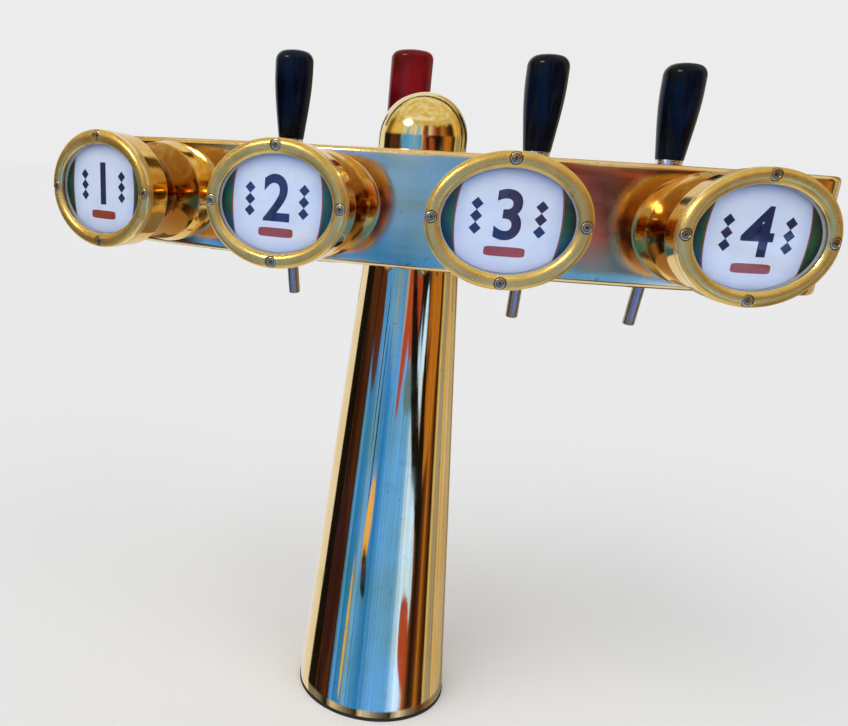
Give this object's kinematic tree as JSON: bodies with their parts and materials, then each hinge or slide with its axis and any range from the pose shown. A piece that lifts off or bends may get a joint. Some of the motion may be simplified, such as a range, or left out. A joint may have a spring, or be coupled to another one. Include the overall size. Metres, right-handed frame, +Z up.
{
  "type": "beer tower dispenser",
  "caption": "Brass beer tower: conical column, curved beam with lit oval medallions in front and lever taps behind, domed cap on top.",
  "frame": {"origin": "centre of the foot, on the counter", "axes": "+Z up, -Y towards the customer and the medallions, +Y towards the taps, +X to the right seen by the customer"},
  "size_m": [0.7088, 0.3179, 0.65],
  "materials": {
    "brass_shell": "polished",
    "brass_bezel": "polished, slightly dulled",
    "steel_ring": "turned",
    "rubber": "matt",
    "screw_steel": "plain",
    "lens": "clear",
    "badge": "gloss print",
    "nut_brass": "machined",
    "board": "matt",
    "lead": "matt",
    "stainless": "polished stainless steel",
    "chrome": "bright plated",
    "handle_navy": "gloss",
    "handle_red": "gloss"
  },
  "bodies": {
    "tower": {"column_shell": "brass_shell", "bar_shell": "brass_shell", "dome_cap": "brass_shell", "bottom_cover_left": "brass_shell", "bottom_cover_right": "brass_shell", "pod_housing_1": "brass_shell", "pod_housing_2": "brass_shell", "pod_housing_3": "brass_shell", "pod_housing_4": "brass_shell", "bezel_ring_1": "brass_bezel", "bezel_ring_2": "brass_bezel", "bezel_ring_3": "brass_bezel", "bezel_ring_4": "brass_bezel", "base_ring": "steel_ring", "base_gasket": "rubber", "lens_gaskets": "rubber", "cover_screws": "screw_steel", "bezel_screws": "screw_steel", "lens_1": "lens", "lens_2": "lens", "lens_3": "lens", "lens_4": "lens", "badge_plate_1": "badge", "badge_plate_2": "badge", "badge_plate_3": "badge", "badge_plate_4": "badge", "wall_nuts": "nut_brass", "pod_studs": "nut_brass", "lamp_boards": "board", "lamp_leads": "lead", "beer_tubes": "stainless", "tap_shanks": "stainless", "spout_1": "stainless", "spout_2": "stainless", "spout_3": "stainless", "spout_4": "stainless", "tap_roses": "chrome", "union_nuts": "chrome", "bonnet_nuts": "chrome", "tap_front_caps": "chrome", "tap_body_1": "chrome", "tap_body_2": "chrome", "tap_body_3": "chrome", "tap_body_4": "chrome"},
    "tap_lever_1": {"lever_1": "stainless", "ferrule_1": "chrome", "handle_1": "handle_navy"},
    "tap_valve_1": {"valve_stem_1": "stainless"},
    "tap_lever_2": {"lever_2": "stainless", "ferrule_2": "chrome", "handle_2": "handle_red"},
    "tap_valve_2": {"valve_stem_2": "stainless"},
    "tap_lever_3": {"lever_3": "stainless", "ferrule_3": "chrome", "handle_3": "handle_navy"},
    "tap_valve_3": {"valve_stem_3": "stainless"},
    "tap_lever_4": {"lever_4": "stainless", "ferrule_4": "chrome", "handle_4": "handle_navy"},
    "tap_valve_4": {"valve_stem_4": "stainless"}
  },
  "joints": [
    {"name": "lever_pull_1", "type": "hinge", "parent": "tower", "child": "tap_lever_1", "pos_m": [-0.16666, 0.13041, 0.518], "axis": [-0.9613, 0.2755, 0], "range_deg": [0, 25]},
    {"name": "valve_slide_1", "type": "slide", "parent": "tower", "child": "tap_valve_1", "axis": [-0.2755, -0.9613, 0], "range_m": [0, 0.0064]},
    {"name": "lever_pull_2", "type": "hinge", "parent": "tower", "child": "tap_lever_2", "pos_m": [-0.03636, 0.10809, 0.518], "axis": [-0.9982, 0.0601, 0], "range_deg": [0, 25]},
    {"name": "valve_slide_2", "type": "slide", "parent": "tower", "child": "tap_valve_2", "axis": [-0.0601, -0.9982, 0], "range_m": [0, 0.0064]},
    {"name": "lever_pull_3", "type": "hinge", "parent": "tower", "child": "tap_lever_3", "pos_m": [0.09568, 0.11461, 0.518], "axis": [-0.9874, -0.1581, 0], "range_deg": [0, 25]},
    {"name": "valve_slide_3", "type": "slide", "parent": "tower", "child": "tap_valve_3", "axis": [0.1581, -0.9874, 0], "range_m": [0, 0.0064]},
    {"name": "lever_pull_4", "type": "hinge", "parent": "tower", "child": "tap_lever_4", "pos_m": [0.22315, 0.14966, 0.518], "axis": [-0.9295, -0.3688, 0], "range_deg": [0, 25]},
    {"name": "valve_slide_4", "type": "slide", "parent": "tower", "child": "tap_valve_4", "axis": [0.3688, -0.9295, 0], "range_m": [0, 0.0064]}
  ],
  "couplings": [
    {"joint": "valve_slide_1", "follows": "lever_pull_1", "m_per_rad": 0.014529},
    {"joint": "valve_slide_2", "follows": "lever_pull_2", "m_per_rad": 0.014529},
    {"joint": "valve_slide_3", "follows": "lever_pull_3", "m_per_rad": 0.014529},
    {"joint": "valve_slide_4", "follows": "lever_pull_4", "m_per_rad": 0.014529}
  ]
}
